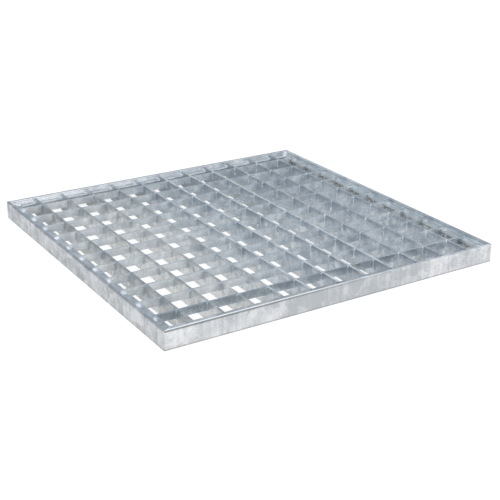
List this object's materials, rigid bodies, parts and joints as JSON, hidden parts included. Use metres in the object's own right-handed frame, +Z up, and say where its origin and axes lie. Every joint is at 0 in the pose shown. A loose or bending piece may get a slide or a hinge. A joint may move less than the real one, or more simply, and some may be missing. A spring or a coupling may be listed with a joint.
{
  "type": "steel grating",
  "caption": "Square galvanised floor grating: deep bearing bars with shallow cross bars pressed into their slots, welded into a T-section frame.",
  "frame": {"origin": "middle of the underside, on the ground plane that the edge bars and bearing bars stand on", "axes": "+X along the front edge bar and the cross bars, +Y along the bearing bars to the back, +Z up"},
  "size_m": [0.4, 0.4, 0.02],
  "materials": {
    "frame_zinc": "satin",
    "bar_zinc": "satin",
    "weld_zinc": "satin"
  },
  "bodies": {
    "root": {"bearing_bar_01": "bar_zinc", "bearing_bar_02": "bar_zinc", "bearing_bar_03": "bar_zinc", "bearing_bar_04": "bar_zinc", "bearing_bar_05": "bar_zinc", "bearing_bar_06": "bar_zinc", "bearing_bar_07": "bar_zinc", "bearing_bar_08": "bar_zinc", "bearing_bar_09": "bar_zinc", "bearing_bar_10": "bar_zinc", "bearing_bar_11": "bar_zinc", "corner_welds": "weld_zinc", "cross_bar_01": "bar_zinc", "cross_bar_02": "bar_zinc", "cross_bar_03": "bar_zinc", "cross_bar_04": "bar_zinc", "cross_bar_05": "bar_zinc", "cross_bar_06": "bar_zinc", "cross_bar_07": "bar_zinc", "cross_bar_08": "bar_zinc", "cross_bar_09": "bar_zinc", "cross_bar_10": "bar_zinc", "cross_bar_11": "bar_zinc", "edge_bar_back": "frame_zinc", "edge_bar_front": "frame_zinc", "edge_bar_left": "frame_zinc", "edge_bar_right": "frame_zinc", "end_welds_back": "weld_zinc", "end_welds_front": "weld_zinc", "end_welds_left": "weld_zinc", "end_welds_right": "weld_zinc"}
  },
  "joints": []
}
